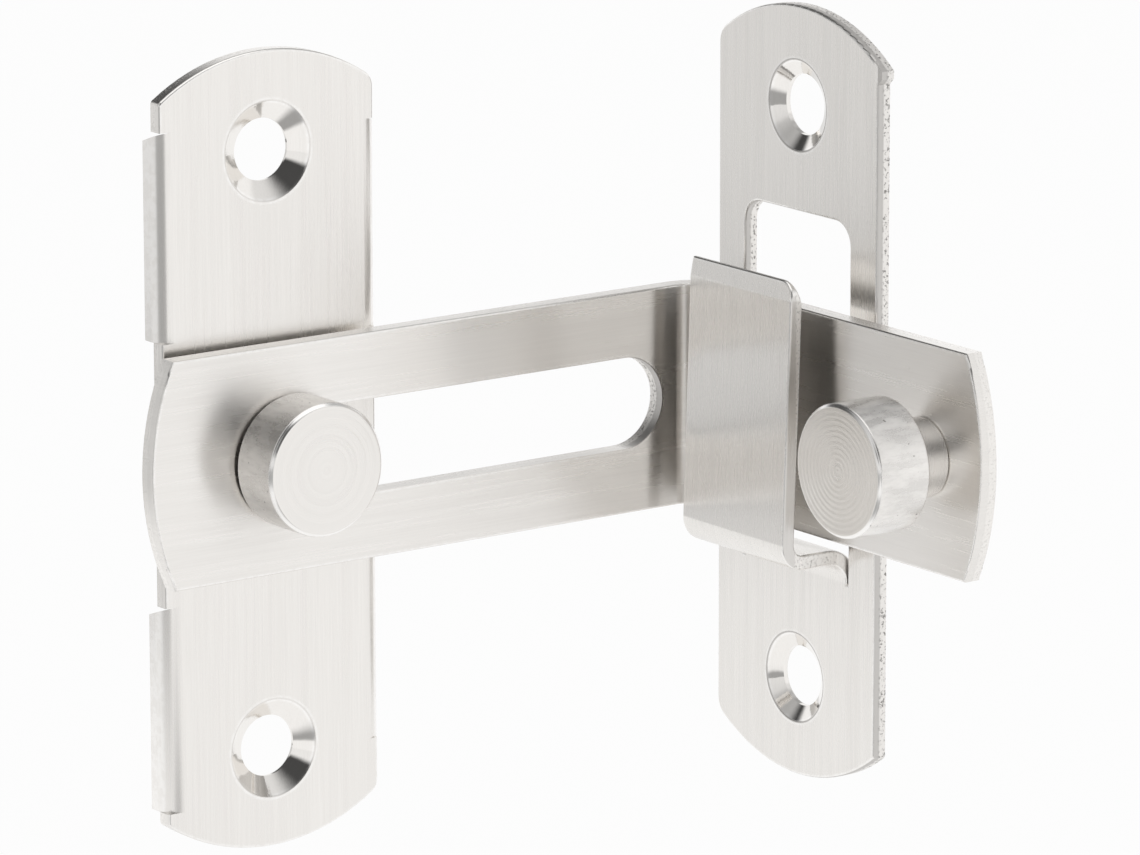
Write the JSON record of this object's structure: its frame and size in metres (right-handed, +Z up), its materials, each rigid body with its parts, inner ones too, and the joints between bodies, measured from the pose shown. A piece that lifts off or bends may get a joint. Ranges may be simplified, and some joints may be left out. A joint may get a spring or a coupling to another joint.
{
  "type": "flip latch",
  "caption": "Stainless steel flip latch for an inside corner: an L-shaped slotted bar turns on a stud and drops into the folded hook of a strike plate.",
  "frame": {"origin": "on the stud's axis, midway between the base plate's screw holes, on the back of its sheet", "axes": "+Z up along both plates, -Y out of the base plate's wall into the room, +X along the bar towards the strike plate's wall"},
  "size_m": [0.0712, 0.0515, 0.0808],
  "materials": {
    "plate_steel": "upright brushed grain",
    "bar_steel": "lengthwise brushed grain",
    "turned_steel": "turned rings"
  },
  "bodies": {
    "plates": {"base_plate": "plate_steel", "strike_plate": "plate_steel"},
    "stud": {"pivot_stud": "turned_steel"},
    "bar": {"latch_bar": "bar_steel", "lift_knob": "turned_steel"}
  },
  "joints": [
    {"name": "bar_flip", "type": "hinge", "parent": "plates", "child": "stud", "pos_m": [0, 0, 0], "axis": [0, -1, 0], "range_deg": [-1.5, 270]},
    {"name": "bar_slide", "type": "slide", "parent": "stud", "child": "bar", "axis": [1, 0, 0], "range_m": [-0.0015, 0.001]}
  ]
}
